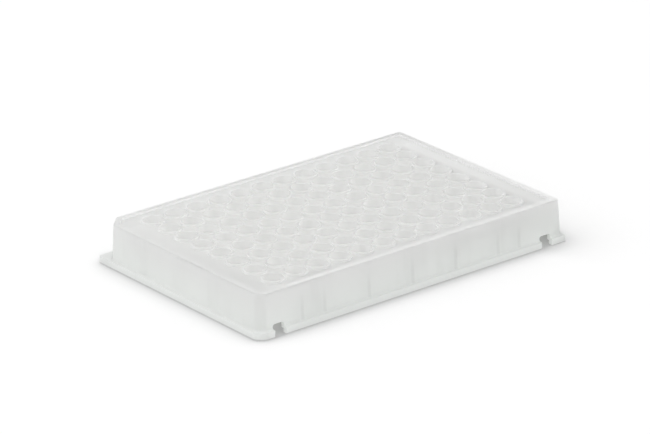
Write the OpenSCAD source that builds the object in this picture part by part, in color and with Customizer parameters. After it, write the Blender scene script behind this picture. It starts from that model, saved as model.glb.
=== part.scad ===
// Well plate: a 96-well microplate with round-bottomed wells, moulded in one piece.
// The origin is at the centre of the footprint, on the surface that the plate stands on.
// +X runs along the rows from column 1 to column 12, +Y runs towards row A and +Z is up.

/* [Footprint] */
// Length of the foot, along X
plate_length = 127.76; // [127:0.01:134]
// Width of the foot, along Y
plate_width = 85.48; // [85:0.01:92]
// Height of the outer frame
plate_height = 14.8; // [14:0.1:18]

/* [Foot flange] */
// Height of the flange round the foot
flange_height = 2.4; // [2:0.1:4]
// How far the flange stands out from the wall above it
flange_reach = 1.25; // [0.8:0.05:1.8]
// Size of the fillet where the wall meets the flange
flange_fillet = 0.6; // [0.2:0.1:0.7]

/* [Stacking step] */
// Height of the step inside the foot, which takes the top of the plate stacked below
stacking_step = 1.6; // [0.8:0.1:1.8]
// Clearance round the top of the plate stacked below
stacking_clearance = 0.3; // [0.1:0.05:0.4]

/* [Outer frame] */
// Thickness of the outer wall
wall = 1.2; // [0.8:0.1:1.6]
// How far the wall leans in between the flange and the top
wall_draft = 0.55; // [0.1:0.05:1]
// Radius of the edge along the top of the frame
top_edge_radius = 0.4; // [0.2:0.1:0.6]
// Leg of the chamfered corner next to well A1
key_chamfer = 4.5; // [2:0.1:5]
// Radius of the corner at the far end of column 1
soft_corner_radius = 3.5; // [1:0.1:5]
// Radius of the other corners
corner_radius = 0.8; // [0.4:0.1:2]

/* [Deck] */
// Width of the flat top of the frame
rim_width = 2; // [1.2:0.1:3]
// Depth of the deck below the top of the frame
deck_drop = 0.8; // [0.4:0.1:3]
// Thickness of the deck
deck_thickness = 1; // [0.8:0.1:1.5]

/* [Wells] */
// Number of columns, along X
columns = 12; // [2:1:12]
// Number of rows, along Y
rows = 8; // [2:1:8]
// Distance from one well's centre to the next
pitch = 9; // [8.6:0.1:9.2]
// Diameter of a well at its mouth
mouth_diameter = 6.9; // [6:0.05:7.2]
// Diameter of a well where its round bottom begins
bottom_diameter = 6.4; // [5.6:0.05:6.8]
// Depth of a well, from its mouth to its lowest point
well_depth = 11; // [9:0.1:11.5]
// Thickness of a well's wall
well_wall = 0.65; // [0.5:0.05:0.8]
// Height of the wells' mouths above the top of the frame
mouth_rise = 0; // [0:0.05:0.6]

/* [Ribs] */
// Thickness of the ribs that tie the outer wall to the wells
rib_thickness = 0.9; // [0.6:0.1:1.2]
// Height of a rib's lower edge above the surface the plate stands on
rib_foot = 2.8; // [2.5:0.1:5]
// Number of wells from one rib to the next
rib_spacing = 2; // [1:1:4]

/* [Gripper notches] */
// Distance from the end of the plate to a notch
notch_inset = 6.3; // [5:0.1:12]
// Width of a notch
notch_width = 4.4; // [3:0.1:8]
// Height of a notch
notch_height = 4; // [3:0.1:6]
// Radius of a notch's upper corners
notch_radius = 0.8; // [0.3:0.1:1.4]

/* [Hidden] */

$fn = 48;

// Distance that a cut runs past the face it opens
past = 1;
// Thickness of the thin slices that a hull spans
slice = 0.01;
// Least radius left on an outline that has moved in
least_radius = 0.3;
// Share of a fillet's size at which its curve is split in two straight steps
fillet_split = 0.3;

// Distances from the edge of the footprint to the outer wall, at its foot and at its top
foot_inset = flange_reach;
top_inset = flange_reach + wall_draft;

// Levels, from the surface that the plate stands on
mouth_level = plate_height + mouth_rise;
deck_level = plate_height - deck_drop;
deck_underside = deck_level - deck_thickness;
bottom_centre = mouth_level - well_depth + bottom_diameter / 2;

// Places of the columns and rows, centred on the footprint
column_places = [for (i = [0:columns - 1]) (i - (columns - 1) / 2) * pitch];
row_places = [for (i = [0:rows - 1]) (i - (rows - 1) / 2) * pitch];

// Radius of a corner whose outline has moved in past the top of the wall
function moved_in(radius, inset) = max(radius - max(inset - top_inset, 0), least_radius);

// Leg of the key chamfer on an outline that has moved in evenly on all sides
function chamfer_leg(inset) = key_chamfer - (2 - sqrt(2)) * (inset - top_inset);

// What is cut away to round a corner at the origin that points along +X and +Y
module corner_waste(radius) {
    translate([-radius, -radius])
        difference() {
            square(radius + past);
            circle(radius);
        }
}

// What is cut away to chamfer a corner at the origin that points along -X and +Y
module chamfer_waste(leg) {
    polygon([[-past, past], [-past, -leg - past], [leg + past, past]]);
}

// Footprint moved in on all sides, with one soft corner and, where keyed, one chamfered corner
module outline(inset, keyed = true) {
    x = plate_length / 2 - inset;
    y = plate_width / 2 - inset;
    small = moved_in(corner_radius, inset);
    difference() {
        square([2 * x, 2 * y], center = true);
        translate([-x, -y]) rotate(180) corner_waste(moved_in(soft_corner_radius, inset));
        translate([x, -y]) rotate(-90) corner_waste(small);
        translate([x, y]) corner_waste(small);
        if (keyed) translate([-x, y]) chamfer_waste(chamfer_leg(inset));
        else translate([-x, y]) rotate(90) corner_waste(small);
    }
}

// Thin slice of the keyed outline, with its lower face at a level
module outline_slice(inset, level) {
    translate([0, 0, level]) linear_extrude(slice) outline(inset, $fn = 32);
}

// Outer wall as a solid block, from the foot to its rounded top edge
module frame_block() {
    r = top_edge_radius;
    hull() {
        outline_slice(foot_inset, 0);
        outline_slice(foot_inset, flange_height);
        outline_slice(top_inset, plate_height - r);
        outline_slice(top_inset + fillet_split * r, plate_height - fillet_split * r);
        outline_slice(top_inset + r, plate_height - slice);
    }
}

// Fillet between the flange's top and the wall, in two straight steps
module foot_fillet() {
    f = flange_fillet;
    split = fillet_split * f;
    hull() {
        outline_slice(foot_inset - f, flange_height);
        outline_slice(foot_inset - split, flange_height + split);
    }
    hull() {
        outline_slice(foot_inset - split, flange_height + split);
        outline_slice(foot_inset, flange_height + f);
    }
}

// Space inside the outer wall, below the deck
module underside_space() {
    hull() {
        outline_slice(foot_inset + wall, 0);
        outline_slice(foot_inset + wall, flange_height);
        outline_slice(top_inset + wall, deck_underside - slice);
    }
    translate([0, 0, -past])
        linear_extrude(stacking_step + past)
            outline(top_inset - stacking_clearance);
}

// Foot flange, outer wall, flat rim and sunken deck
module shell() {
    difference() {
        union() {
            linear_extrude(flange_height) outline(0, keyed = false);
            foot_fillet();
            frame_block();
        }
        underside_space();
        translate([0, 0, deck_level])
            linear_extrude(deck_drop + past)
                outline(top_inset + rim_width);
    }
}

// Children repeated at every well
module at_wells() {
    for (x = column_places, y = row_places)
        translate([x, y, 0])
            children();
}

// Outer form of a well: a tapered tube on a round bottom, grown by a wall's thickness
module well_form(grown, top) {
    foot_radius = bottom_diameter / 2;
    mouth_radius = mouth_diameter / 2;
    widening = (mouth_radius - foot_radius) / (mouth_level - bottom_centre);
    translate([0, 0, bottom_centre]) {
        sphere(foot_radius + grown);
        cylinder(
            h = top - bottom_centre,
            r1 = foot_radius + grown,
            r2 = foot_radius + grown + widening * (top - bottom_centre));
    }
}

// Rib that runs inwards along +Y from the origin, between the deck and the rib's lower edge
module rib(length) {
    translate([-rib_thickness / 2, 0, rib_foot])
        cube([rib_thickness, length, deck_underside + slice - rib_foot]);
}

// Places of the ribs along a side with a number of wells, in the gaps between the wells
function rib_places(wells) = [
    for (i = [1:wells - 1])
        if ((i - floor(wells / 2)) % rib_spacing == 0 || i == 1 || i == wells - 1)
            (i - wells / 2) * pitch
];

// Ribs from the outer wall to the first wells, on all four sides
module ribs() {
    start = top_inset + wall / 2;
    end_length = plate_length / 2 - start - column_places[columns - 1];
    side_length = plate_width / 2 - start - row_places[rows - 1];
    for (turn = [0, 180]) rotate(turn) {
        for (x = rib_places(columns))
            translate([x, start - plate_width / 2, 0]) rib(side_length);
        for (y = rib_places(rows))
            translate([start - plate_length / 2, y, 0]) rotate(-90) rib(end_length);
    }
}

// Front view of a notch that is open at the foot
module notch_profile() {
    difference() {
        translate([-notch_width / 2, -past]) square([notch_width, notch_height + past]);
        for (side = [0, 1])
            mirror([side, 0])
                translate([notch_width / 2, notch_height]) corner_waste(notch_radius);
    }
}

// Notches through the wall and the flange, near both ends of each long side
module notches() {
    reach = foot_inset + wall + past;
    along = plate_length / 2 - notch_inset - notch_width / 2;
    for (turn = [0, 180], x = [-along, along])
        rotate(turn)
            translate([x, reach - plate_width / 2, 0])
                rotate([90, 0, 0])
                    linear_extrude(reach + past)
                        notch_profile();
}

module well_plate() {
    color("whitesmoke")
        difference() {
            union() {
                shell();
                ribs();
                at_wells() well_form(well_wall, mouth_level);
            }
            at_wells() well_form(0, mouth_level + past);
            notches();
        }
}

well_plate();
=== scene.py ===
import math

import bpy
from mathutils import Matrix, Vector


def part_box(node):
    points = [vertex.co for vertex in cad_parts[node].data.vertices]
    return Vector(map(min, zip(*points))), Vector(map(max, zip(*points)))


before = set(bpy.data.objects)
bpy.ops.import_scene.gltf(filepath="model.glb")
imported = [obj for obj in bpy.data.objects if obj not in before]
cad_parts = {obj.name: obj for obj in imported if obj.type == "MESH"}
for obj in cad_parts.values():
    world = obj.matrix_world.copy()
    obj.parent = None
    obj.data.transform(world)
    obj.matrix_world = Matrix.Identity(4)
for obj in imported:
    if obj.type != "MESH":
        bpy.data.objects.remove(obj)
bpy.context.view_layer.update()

# The plate's own measures, in metres. Its box comes from the frame
LOW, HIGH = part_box("well_plate")
HEIGHT = HIGH.z - LOW.z
HALF_LENGTH = (HIGH.x - LOW.x) / 2
HALF_WIDTH = (HIGH.y - LOW.y) / 2
MM = 0.001
COLUMNS = 12
ROWS = 8
PITCH = 9 * MM
FLANGE_TOP = 2.4 * MM
DECK = HEIGHT - 0.8 * MM

# Half sizes of the block of wells, to the middles of the outer ones
GRID_HALF_LENGTH = (COLUMNS - 1) / 2 * PITCH
GRID_HALF_WIDTH = (ROWS - 1) / 2 * PITCH

# Distances from those middles, outwards: to the outer halves of the outer wells, to the strip
# along their outer sides and to the strip's end
OUTER_SIDE = 0.3 * MM
BORDER_START = 3.6 * MM
BORDER_END = 5 * MM
BORDER_FADE = 0.6 * MM
SIDE_FADE = 1 * MM

# Distances from the edge of the footprint, inwards: to where the outer wall's outer face ends and
# its inner face begins, to the inside of the rim, and as far as a corner reaches along a wall
WALL_OUTSIDE = 2 * MM
WALL_INSIDE = 2.3 * MM
RIM_INSIDE = 3.8 * MM
RIM_FADE = 0.5 * MM
CORNER_REACH = 14 * MM

# Heights: how far a level fades, how exactly the deck is met, and the band along the top edge
STEP_FADE_BELOW = 0.2 * MM
STEP_FADE_ABOVE = 0.6 * MM
LEVEL_FADE = 0.2 * MM
LEVEL_TOLERANCE = 0.1 * MM
EDGE_BAND = 1.6 * MM

# Upward part of the normal from which a face counts as a flat top, partly and in full
FLAT_START = 0.9
FLAT_FULL = 0.98

# Camera: a long lens at the photograph's angle
CAMERA_AZIMUTH = -38.332
CAMERA_ELEVATION = 22.141
CAMERA_ROLL = -0.833
CAMERA_DISTANCE = 1.3698
CAMERA_AIM_HEIGHT = 5 * MM
CAMERA_RIGHT = -2.736 * MM
CAMERA_UP = 6.698 * MM
CAMERA_NEAREST = 0.05
CAMERA_FARTHEST = 20
SENSOR_WIDTH = 36
LENS = 231.99

# Light: an even pale room with one large soft lamp to the left
ROOM_LEVEL = 0.919
KEY_WATTS = 1.2
KEY_SIZE = 0.8
KEY_PLACE = Vector((-0.75, 0.25, 0.6))
WHITE = (1, 1, 1, 1)

# Light passes through many thin walls before it comes out again
BOUNCES = 32

# Floor: pale, lifted to a clean white for the camera where nothing shades it
FLOOR_SIZE = 4.0
FLOOR_COLOUR = (0.95, 0.95, 0.95, 1)
FLOOR_SHADED_COLOUR = (0.585, 0.585, 0.585, 1)
FLOOR_LIFT = 0.445
FLOOR_SHADE_REACH = 9 * MM
FLOOR_SHADE_SAMPLES = 16
FLOOR_CORNER = 3.5 * MM
FLOOR_TURN = 15 * MM

# Shade along the foot on the floor: how deep it is and how fast it fades, NEAR at the left end of
# the plate and FAR at the right end, and how much light is left to the floor under the plate
CONTACT_SHADE = 0.82
CONTACT_SHADE_FAR = 0.38
CONTACT_REACH_NEAR = 1 * MM
CONTACT_REACH = 1.6 * MM
CONTACT_REACH_FAR = 8 * MM
UNDER_LIFT = 0.25
UNDER_EDGE = 0.8 * MM

# Natural polypropylene: near white, with a faint green tint low in the frame
PLASTIC_COLOUR = (0.9977, 0.998, 0.995, 1)
PLASTIC_COLOUR_FOOT = (0.982, 0.996, 0.982, 1)
PLASTIC_IOR = 1.49
SURFACE_ROUGHNESS = 0.42
WELLS_HAZE = 0.5
FRAME_HAZE = 0.29

# Place across the plate runs from -2 at its front left corner to 2 at its back right one. A value
# that changes across it does so between this far before and this far past the middle
ACROSS_REACH = 1.6

# The plastic changes from place to place. Names end in FAR at the right or the back, in LEFT at
# the left end, in END at both short ends, and in TOP and FOOT high and low in the outer walls

# Clear share: how much of the light goes through the plastic as through frosted glass
WELLS_CLEAR = 0.05
WELLS_CLEAR_FACING = 0.27
OUTER_SIDE_CLEAR = 0.05
FACING_NARROW = 0.07
FACING_WIDE = 0.2
LIP_CLEAR = 0.25
MARGIN_CLEAR = 0.3
MARGIN_CLEAR_FAR = 0.02
BORDER_CLEAR = 0.38
BORDER_CLEAR_LEFT = 0.1
RIM_CLEAR = 0.06
WALL_CLEAR_TOP = 0.17
WALL_CLEAR_TOP_FAR = 0.45
WALL_CLEAR_TOP_END = 0.28
WALL_CLEAR_FOOT = 0.2
WALL_CLEAR_FOOT_END = 0.32
CORNER_CLEAR = 0.12
EDGE_CLEAR = 0.68
EDGE_CLEAR_FAR = 0.3
FLANGE_CLEAR = 0.04
FLANGE_CLEAR_END = 0.15

# Glow share: how much of the rest is spread to the other side of the wall, and not reflected
WELLS_GLOW = 0.9
OUTER_SIDE_GLOW = 0.5
OUTER_SIDE_GLOW_FAR = 0.2
DECK_GLOW = 0.65
MARGIN_GLOW = 0.6
MARGIN_GLOW_FAR = 0.45
RIM_GLOW = 0.32
RIM_GLOW_FAR = 0.75
RIM_GLOW_LEFT = 0.55
WALL_GLOW_TOP = 0.6
WALL_GLOW_FOOT = 0.25
WALL_GLOW_FOOT_LEFT = 0.21
STEP_GLOW_LEFT = 0.11
BACK_WALL_GLOW = 0.7
BACK_WALL_GLOW_INSIDE = 1.0

# Painted shades, as a share of the colour taken away: at the wells, on the margins and along the
# foot
# Painted shade on the wells: towards the front, towards the right and on their lips
LIP_SHADE = 0.012
FRONT_SHADE = 0.004
RIGHT_SHADE = 0.003
# Painted shade on the margin: along the back and in a line beside the last column
BACK_SHADE = 0.032
LAST_COLUMN_SHADE = 0.06
LAST_COLUMN_SHADE_START = 1.5 * MM
LAST_COLUMN_SHADE_FULL = 3.2 * MM
LAST_COLUMN_SHADE_FADE = 4.5 * MM
LAST_COLUMN_SHADE_END = 7 * MM
# Painted contact shadow along the base of the foot: its height and depth
FOOT_LINE = 0.2 * MM
FOOT_PAINTED_SHADOW = 0.24

# Painted shade where the ribs behind the outer walls show through, as a share of the colour taken
# away
RIB_LINE = 0.5 * MM
RIB_LINE_SHADE = 0.07
RIB_LINE_SHIFT = 0.6 * MM
RIB_BAND = 3 * MM
RIB_BAND_SHADE = 0.02
RIB_BAND_SHIFT = 2.5 * MM
RIB_FADE_LOW = 6 * MM
RIB_FADE_HIGH = 12 * MM
LAST_RIB_ALONG_SIDE = (COLUMNS / 2 - 1) * PITCH
LAST_RIB_ALONG_END = (ROWS / 2 - 1) * PITCH

# Faint marks from moulding: clouds all over, upright streaks on the walls and a satin grain.
# A mark goes from none to full between two values of its noise
CLOUD_SIZE = 11 * MM
CLOUD_SHADE = 0.003
CLOUD_NONE = 0.3
CLOUD_FULL = 0.7
STREAK_SIZE = 4 * MM
STREAK_STRETCH = 0.15
STREAK_SHADE = 0.03
STREAK_NONE = 0.5
STREAK_FULL = 0.75
GRAIN_SIZE = 0.35 * MM
GRAIN_HEIGHT = 0.01 * MM
GRAIN_STRENGTH = 0.25
ROUGHNESS_PATCH = CLOUD_SIZE / 3
ROUGHNESS_SPREAD = 0.12


class Shader:
    """A material whose nodes are added one call at a time."""

    def __init__(self, name):
        self.material = bpy.data.materials.new(name)
        self.material.use_nodes = True
        self.tree = self.material.node_tree
        self.tree.nodes.clear()

    def node(self, kind, inputs=(), **settings):
        """Adds a node. An input is a plain value or another node's output."""
        node = self.tree.nodes.new("ShaderNode" + kind)
        for name, value in settings.items():
            setattr(node, name, value)
        for key, value in dict(inputs).items():
            if isinstance(value, bpy.types.NodeSocket):
                self.tree.links.new(value, node.inputs[key])
            else:
                node.inputs[key].default_value = value
        return node

    def math(self, operation, *values):
        """One sum on plain values and outputs."""
        return self.node("Math", enumerate(values), operation=operation).outputs[0]

    def product(self, *values):
        """All the values multiplied."""
        result = values[0]
        for value in values[1:]:
            result = self.math("MULTIPLY", result, value)
        return result

    def total(self, *values):
        """All the values added up."""
        result = values[0]
        for value in values[1:]:
            result = self.math("ADD", result, value)
        return result

    def other(self, share):
        """What a share leaves of the whole."""
        return self.math("SUBTRACT", 1.0, share)

    def either(self, first, second):
        """The larger of two shares."""
        return self.math("MAXIMUM", first, second)

    def split(self, vector):
        """The X, Y and Z of a vector."""
        return self.node("SeparateXYZ", {0: vector}).outputs

    def ramp(self, value, start, end, low=0.0, high=1.0):
        """Goes smoothly from low to high as value goes from start to end."""
        node = self.node(
            "MapRange",
            {"Value": value, "From Min": start, "From Max": end, "To Min": low, "To Max": high},
            interpolation_type="SMOOTHSTEP")
        return node.outputs["Result"]

    def past(self, value, edge, over):
        """Goes from 0 to 1 over a width as a value passes an edge, on either side of the middle."""
        return self.ramp(self.math("ABSOLUTE", value), edge, edge + over)

    def past_block(self, x, y, distance):
        """1 outside the block of wells, from a distance beyond the middles of its outer wells."""
        past_end = self.past(x, GRID_HALF_LENGTH + distance, BORDER_FADE)
        past_side = self.past(y, GRID_HALF_WIDTH + distance, BORDER_FADE)
        return self.either(past_end, past_side)

    def blend(self, share, first, second):
        """Goes from the first number to the second as the share goes from 0 to 1."""
        return self.node("Mix", {0: share, 2: first, 3: second}).outputs[0]

    def mix(self, share, first, second):
        """A share of the second shader in the first."""
        return self.node("MixShader", {0: share, 1: first.outputs[0], 2: second.outputs[0]})

    def noise(self, place, size, detail=2.0):
        """Soft random values from about 0.3 to 0.7, in patches of a size."""
        inputs = {"Vector": place, "Scale": 1 / size, "Detail": detail}
        return self.node("TexNoise", inputs).outputs["Fac"]

    def finish(self, surface):
        self.node("OutputMaterial", {"Surface": surface.outputs[0]})
        return self.material


class Spot:
    """Where a point of the plate is. Each region is a share, 0 outside it and 1 inside."""

    def __init__(self, s):
        self.place = s.node("TexCoord").outputs["Object"]
        self.x, self.y, self.height = s.split(self.place)
        facing_up = s.split(s.node("NewGeometry").outputs["Normal"])[2]
        self.flat_top = s.ramp(facing_up, FLAT_START, FLAT_FULL)

        # Wells: their whole block, the strip just outside it and the outer wells' outer halves
        self.outside_wells = s.past_block(self.x, self.y, BORDER_START)
        past_border = s.past_block(self.x, self.y, BORDER_END)
        self.border = s.product(self.outside_wells, s.other(past_border))
        self.outer_side = s.past_block(self.x, self.y, OUTER_SIDE)
        self.above_deck = s.ramp(self.height, DECK, DECK + LEVEL_FADE)
        self.on_deck = s.product(
            s.math("COMPARE", self.height, DECK, LEVEL_TOLERANCE), self.flat_top)

        # Frame: the walls at the ends and along the sides, above the flange, and the flat rim
        self.end_wall = s.past(self.x, HALF_LENGTH - RIM_INSIDE - RIM_FADE, RIM_FADE)
        self.side_wall = s.past(self.y, HALF_WIDTH - RIM_INSIDE - RIM_FADE, RIM_FADE)
        self.in_frame = s.either(self.end_wall, self.side_wall)
        self.above_flange = s.ramp(
            self.height, FLANGE_TOP - STEP_FADE_BELOW, FLANGE_TOP + STEP_FADE_ABOVE)
        self.on_rim = s.product(
            s.ramp(self.height, DECK + LEVEL_FADE, HEIGHT - LEVEL_FADE), self.flat_top)

        # Sides of the plate, outwards from the middles of the outer wells
        self.right = s.ramp(self.x, GRID_HALF_LENGTH, GRID_HALF_LENGTH + SIDE_FADE)
        self.left = s.ramp(self.x, -GRID_HALF_LENGTH, -GRID_HALF_LENGTH - SIDE_FADE)
        self.back = s.ramp(self.y, GRID_HALF_WIDTH, GRID_HALF_WIDTH + SIDE_FADE)

        # Places along the plate, from -1 to 1, and across it from the near to the far corner
        self.along = s.math("DIVIDE", self.x, HALF_LENGTH)
        self.across = s.total(self.along, s.math("DIVIDE", self.y, HALF_WIDTH))


def across_blend(s, at, near, far):
    """Goes from a value at the front left corner to another at the back right one."""
    return s.ramp(at.across, -ACROSS_REACH, ACROSS_REACH, near, far)


def wells_clear(s, at):
    """Clear share in the wells: thin walls are clearest straight on and white along their face."""
    facing = s.node("LayerWeight").outputs["Facing"]
    clearest = s.blend(at.outer_side, WELLS_CLEAR_FACING, OUTER_SIDE_CLEAR)
    clear = s.ramp(facing, FACING_WIDE, FACING_NARROW, WELLS_CLEAR, clearest)
    return s.either(clear, s.product(at.above_deck, LIP_CLEAR))


def margin_clear(s, at):
    """Clear share in the flat margins and in the strip next to the wells."""
    clear = across_blend(s, at, MARGIN_CLEAR, MARGIN_CLEAR_FAR)
    border_clear = s.blend(at.left, BORDER_CLEAR, BORDER_CLEAR_LEFT)
    return s.blend(at.border, clear, border_clear)


def frame_clear(s, at):
    """Clear share in the frame: walls, their corners and top edge, the flange and the rim."""
    top = s.ramp(at.along, -1.0, 1.0, WALL_CLEAR_TOP, WALL_CLEAR_TOP_FAR)
    top = s.blend(at.end_wall, top, WALL_CLEAR_TOP_END)
    foot = s.blend(at.end_wall, WALL_CLEAR_FOOT, WALL_CLEAR_FOOT_END)
    wall = s.ramp(at.height, FLANGE_TOP, HEIGHT, foot, top)
    past_ends = s.product(s.past(at.x, HALF_LENGTH - CORNER_REACH, CORNER_REACH), at.side_wall)
    past_sides = s.product(s.past(at.y, HALF_WIDTH - CORNER_REACH, CORNER_REACH), at.end_wall)
    wall = s.total(wall, s.product(s.either(past_ends, past_sides), CORNER_CLEAR))
    near_top = s.ramp(at.height, HEIGHT - EDGE_BAND, HEIGHT - EDGE_BAND / 4)
    wall = s.blend(near_top, wall, across_blend(s, at, EDGE_CLEAR, EDGE_CLEAR_FAR))
    end_face = s.product(at.end_wall, s.other(at.flat_top))
    flange = s.blend(end_face, FLANGE_CLEAR, FLANGE_CLEAR_END)
    return s.blend(at.on_rim, s.blend(at.above_flange, flange, wall), RIM_CLEAR)


def wells_glow(s, at):
    """Glow share in the wells and on the deck between them."""
    far_side = s.either(at.right, at.back)
    outer_side_glow = s.blend(far_side, OUTER_SIDE_GLOW, OUTER_SIDE_GLOW_FAR)
    glow = s.blend(at.outer_side, WELLS_GLOW, outer_side_glow)
    return s.blend(at.on_deck, glow, DECK_GLOW)


def frame_glow(s, at):
    """Glow share in the frame. The back wall lets most light in to the wells in front of it."""
    foot = s.blend(at.left, WALL_GLOW_FOOT, WALL_GLOW_FOOT_LEFT)
    left_step = s.product(at.left, at.end_wall, at.flat_top)
    foot = s.blend(left_step, foot, STEP_GLOW_LEFT)
    glow = s.ramp(at.height, FLANGE_TOP, HEIGHT, foot, WALL_GLOW_TOP)
    near_corner = s.past(at.x, HALF_LENGTH - CORNER_REACH, CORNER_REACH - RIM_INSIDE)
    in_back_wall = s.ramp(at.y, HALF_WIDTH - RIM_INSIDE - RIM_FADE, HALF_WIDTH - RIM_INSIDE)
    back_wall = s.product(in_back_wall, s.other(near_corner), at.above_flange)
    outer_face = s.ramp(at.y, HALF_WIDTH - WALL_INSIDE, HALF_WIDTH - WALL_OUTSIDE)
    glow = s.blend(back_wall, glow, s.blend(outer_face, BACK_WALL_GLOW_INSIDE, BACK_WALL_GLOW))
    rim = s.ramp(at.y, -HALF_WIDTH, HALF_WIDTH, RIM_GLOW, RIM_GLOW_FAR)
    rim = s.blend(at.left, rim, RIM_GLOW_LEFT)
    return s.blend(at.on_rim, glow, rim)


def rib_shade(s, along, last, shift):
    """Painted shade of the row of ribs behind a wall: thin lines, and soft bands a little to one
    side.
    """
    def away(place):
        near = s.math("MINIMUM", s.math("ABSOLUTE", place), last)
        outer = s.math("ABSOLUTE", s.math("SUBTRACT", s.math("ABSOLUTE", place), last))
        return s.math("MINIMUM", s.math("PINGPONG", near, PITCH), outer)

    from_line = away(s.total(along, RIB_LINE_SHIFT))
    from_band = away(s.total(along, shift))
    line = s.ramp(from_line, RIB_LINE / 2, 2 * RIB_LINE, RIB_LINE_SHADE, 0.0)
    band = s.ramp(from_band, 0.0, RIB_BAND, RIB_BAND_SHADE, 0.0)
    return line, band


def ribs_shade(s, at):
    """Painted shade where the ribs show through low in the walls, as lines on the sides and as bands
    at the ends.
    """
    side_line, side_band = rib_shade(s, at.x, LAST_RIB_ALONG_SIDE, RIB_BAND_SHIFT)
    end_band = rib_shade(s, at.y, LAST_RIB_ALONG_END, -RIB_BAND_SHIFT)[1]
    sides = s.product(s.total(side_line, side_band), at.side_wall)
    ends = s.product(end_band, at.end_wall)
    low = s.ramp(at.height, RIB_FADE_LOW, RIB_FADE_HIGH, 1.0, 0.0)
    return s.product(s.either(sides, ends), at.above_flange, low)


def moulding_marks(s, at):
    """Faint clouds all over and upright streaks on the walls."""
    clouds = s.ramp(s.noise(at.place, CLOUD_SIZE), CLOUD_NONE, CLOUD_FULL, 0.0, CLOUD_SHADE)
    flow = s.node("VectorMath", {0: at.place, 1: (1, 1, STREAK_STRETCH)}, operation="MULTIPLY")
    noise = s.noise(flow.outputs[0], STREAK_SIZE)
    streaks = s.ramp(noise, STREAK_NONE, STREAK_FULL, 0.0, STREAK_SHADE)
    return s.total(clouds, s.product(streaks, at.in_frame, at.above_flange))


def painted_wells_shade(s, at):
    """Painted shade: the wells are a little darker towards the front and the right, and at their
    lips.
    """
    towards_front = s.ramp(at.y, HALF_WIDTH, -HALF_WIDTH, 0.0, FRONT_SHADE)
    towards_right = s.ramp(at.x, -HALF_LENGTH, HALF_LENGTH, 0.0, RIGHT_SHADE)
    shade = s.total(towards_front, towards_right, s.product(at.above_deck, LIP_SHADE))
    return s.product(shade, s.other(at.outside_wells))


def painted_margin_shade(s, at):
    """Painted shade: the margin is darker along the back and in a line beside the last column."""
    back = s.product(at.back, at.outside_wells, BACK_SHADE)
    coming = s.ramp(
        at.x, GRID_HALF_LENGTH + LAST_COLUMN_SHADE_START, GRID_HALF_LENGTH + LAST_COLUMN_SHADE_FULL)
    going = s.ramp(
        at.x, GRID_HALF_LENGTH + LAST_COLUMN_SHADE_FADE, GRID_HALF_LENGTH + LAST_COLUMN_SHADE_END,
        1.0, 0.0)
    last_column = s.product(coming, going, LAST_COLUMN_SHADE)
    return s.product(s.either(back, last_column), at.flat_top)


def plastic_colour(s, at):
    """The plastic's colour, with its tint low in the frame, its faint moulding marks and the painted
    shades.
    """
    # Painted contact shadow along the base of the foot
    foot_painted_shadow = s.ramp(at.height, FOOT_LINE, 2 * FOOT_LINE, FOOT_PAINTED_SHADOW, 0.0)
    # Moulding marks are random tone; the ribs, foot, wells and margin terms are painted shade
    shade = s.total(
        moulding_marks(s, at), ribs_shade(s, at), foot_painted_shadow, painted_wells_shade(s, at), painted_margin_shade(s, at))
    low_in_frame = s.product(at.in_frame, s.ramp(at.height, FLANGE_TOP, HEIGHT, 1.0, 0.0))
    tinted = s.node(
        "Mix", {0: low_in_frame, 6: PLASTIC_COLOUR, 7: PLASTIC_COLOUR_FOOT}, data_type="RGBA")
    shaded = s.node(
        "Mix", {0: 1.0, 6: tinted.outputs[2], 7: s.other(shade)},
        data_type="RGBA", blend_type="MULTIPLY")
    return shaded.outputs[2]


def plastic():
    """Natural polypropylene: part white, part glowing with light from behind, part clear."""
    s = Shader("natural_polypropylene")
    at = Spot(s)
    outer_clear = s.blend(at.in_frame, margin_clear(s, at), frame_clear(s, at))
    clear_share = s.blend(at.outside_wells, wells_clear(s, at), outer_clear)
    outer_glow = s.blend(
        at.in_frame, across_blend(s, at, MARGIN_GLOW, MARGIN_GLOW_FAR), frame_glow(s, at))
    glow_share = s.blend(at.outside_wells, wells_glow(s, at), outer_glow)
    haze = s.blend(at.outside_wells, WELLS_HAZE, FRAME_HAZE)
    colour = plastic_colour(s, at)
    grain = s.noise(at.place, GRAIN_SIZE)
    bump = s.node(
        "Bump", {"Strength": GRAIN_STRENGTH, "Distance": GRAIN_HEIGHT, "Height": grain}).outputs[0]
    patches = s.math("SUBTRACT", s.noise(at.place, ROUGHNESS_PATCH), 0.5)

    white = s.node("BsdfPrincipled", {
        "Base Color": colour,
        "Roughness": s.total(s.product(patches, ROUGHNESS_SPREAD), SURFACE_ROUGHNESS),
        "IOR": PLASTIC_IOR,
        "Normal": bump})
    glow = s.node("BsdfTranslucent", {"Color": colour, "Normal": bump})
    clear = s.node("BsdfPrincipled", {
        "Base Color": colour,
        "Roughness": haze,
        "IOR": PLASTIC_IOR,
        "Transmission Weight": 1.0,
        "Normal": bump})
    lit = s.mix(glow_share, white, glow)
    return s.finish(s.mix(clear_share, lit, clear))


def outside_foot(s, x, y):
    """Distance outwards from the foot's edge, whose corners are taken as round."""
    past_end = s.math("SUBTRACT", s.math("ABSOLUTE", x), HALF_LENGTH - FLOOR_CORNER)
    past_side = s.math("SUBTRACT", s.math("ABSOLUTE", y), HALF_WIDTH - FLOOR_CORNER)
    squares = [s.math("POWER", s.either(past, 0.0), 2.0) for past in (past_end, past_side)]
    return s.math("SUBTRACT", s.math("SQRT", s.total(*squares)), FLOOR_CORNER)


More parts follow.
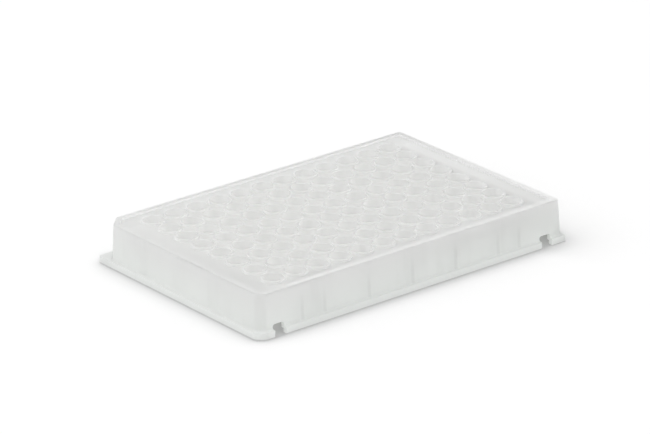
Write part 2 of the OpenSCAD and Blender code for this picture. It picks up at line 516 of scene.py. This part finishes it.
def floor_material():
    """Pale floor. Seen by the camera it is plain white, and greyer only close round the object."""
    s = Shader("white_floor")
    x, y, _ = s.split(s.node("TexCoord").outputs["Object"])
    outside = outside_foot(s, x, y)
    near_end = s.ramp(x, FLOOR_TURN - HALF_LENGTH, -HALF_LENGTH)
    far_end = s.ramp(x, HALF_LENGTH - FLOOR_TURN, HALF_LENGTH)
    reach = s.blend(near_end, CONTACT_REACH, CONTACT_REACH_NEAR)
    reach = s.blend(far_end, reach, CONTACT_REACH_FAR)
    deepest = s.blend(far_end, CONTACT_SHADE, CONTACT_SHADE_FAR)
    inwards = s.math("MINIMUM", s.math("MULTIPLY", outside, -1.0), 0.0)
    fading = s.math("EXPONENT", s.math("DIVIDE", inwards, reach))
    contact = s.other(s.product(fading, deepest))
    lit_share = s.ramp(outside, -UNDER_EDGE, 0.0, UNDER_LIFT, contact)
    openness = s.node(
        "AmbientOcclusion", {"Distance": FLOOR_SHADE_REACH}, samples=FLOOR_SHADE_SAMPLES)
    strength = s.product(openness.outputs["AO"], lit_share, FLOOR_LIFT)

    lit = s.node("BsdfDiffuse", {"Color": FLOOR_COLOUR})
    shaded = s.node("BsdfDiffuse", {"Color": FLOOR_SHADED_COLOUR})
    lift = s.node("Emission", {"Strength": strength})
    seen = s.node("AddShader", {0: shaded.outputs[0], 1: lift.outputs[0]})
    to_camera = s.node("LightPath").outputs["Is Camera Ray"]
    return s.finish(s.mix(to_camera, lit, seen))


def make_floor():
    half = FLOOR_SIZE / 2
    corners = [(-half, -half, 0), (half, -half, 0), (half, half, 0), (-half, half, 0)]
    mesh = bpy.data.meshes.new("floor")
    mesh.from_pydata(corners, [], [(0, 1, 2, 3)])
    floor = bpy.data.objects.new("floor", mesh)
    floor.location.z = LOW.z
    bpy.context.scene.collection.objects.link(floor)
    mesh.materials.append(floor_material())


def make_room():
    """An even white room. The camera sees it as plain white."""
    world = bpy.data.worlds.new("room")
    bpy.context.scene.world = world
    world.use_nodes = True
    nodes, links = world.node_tree.nodes, world.node_tree.links
    nodes.clear()
    light = nodes.new("ShaderNodeBackground")
    light.inputs["Strength"].default_value = ROOM_LEVEL
    light.inputs["Color"].default_value = WHITE
    backdrop = nodes.new("ShaderNodeBackground")
    backdrop.inputs["Color"].default_value = WHITE
    path = nodes.new("ShaderNodeLightPath")
    mix = nodes.new("ShaderNodeMixShader")
    output = nodes.new("ShaderNodeOutputWorld")
    links.new(path.outputs["Is Camera Ray"], mix.inputs[0])
    links.new(light.outputs[0], mix.inputs[1])
    links.new(backdrop.outputs[0], mix.inputs[2])
    links.new(mix.outputs[0], output.inputs["Surface"])


def make_key():
    """One large soft lamp that shines at the plate."""
    lamp = bpy.data.lights.new("key", "AREA")
    lamp.energy = KEY_WATTS
    lamp.size = KEY_SIZE
    holder = bpy.data.objects.new("key", lamp)
    holder.location = KEY_PLACE
    holder.rotation_euler = (-KEY_PLACE).to_track_quat("-Z", "Y").to_euler()
    bpy.context.scene.collection.objects.link(holder)


def make_camera():
    azimuth = math.radians(CAMERA_AZIMUTH)
    elevation = math.radians(CAMERA_ELEVATION)
    roll = math.radians(CAMERA_ROLL)
    back = Vector((
        math.sin(azimuth) * math.cos(elevation),
        -math.cos(azimuth) * math.cos(elevation),
        math.sin(elevation)))
    level = Vector((0, 0, 1)).cross(back).normalized()
    upright = back.cross(level)
    right = level * math.cos(roll) + upright * math.sin(roll)
    up = upright * math.cos(roll) - level * math.sin(roll)
    aim = Vector((0, 0, LOW.z + CAMERA_AIM_HEIGHT))
    place = aim + back * CAMERA_DISTANCE + right * CAMERA_RIGHT + up * CAMERA_UP
    data = bpy.data.cameras.new("camera")
    data.sensor_width = SENSOR_WIDTH
    data.lens = LENS
    data.clip_start = CAMERA_NEAREST
    data.clip_end = CAMERA_FARTHEST
    camera = bpy.data.objects.new("camera", data)
    bpy.context.scene.collection.objects.link(camera)
    turn = Matrix((right, up, back)).transposed().to_4x4()
    camera.matrix_world = Matrix.Translation(place) @ turn
    bpy.context.scene.camera = camera


make_camera()
make_room()
make_key()
make_floor()

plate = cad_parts["well_plate"]
plate.data.materials.clear()
plate.data.materials.append(plastic())

scene = bpy.context.scene
scene.view_settings.view_transform = "Standard"
scene.cycles.max_bounces = BOUNCES
scene.cycles.diffuse_bounces = BOUNCES
scene.cycles.transmission_bounces = BOUNCES
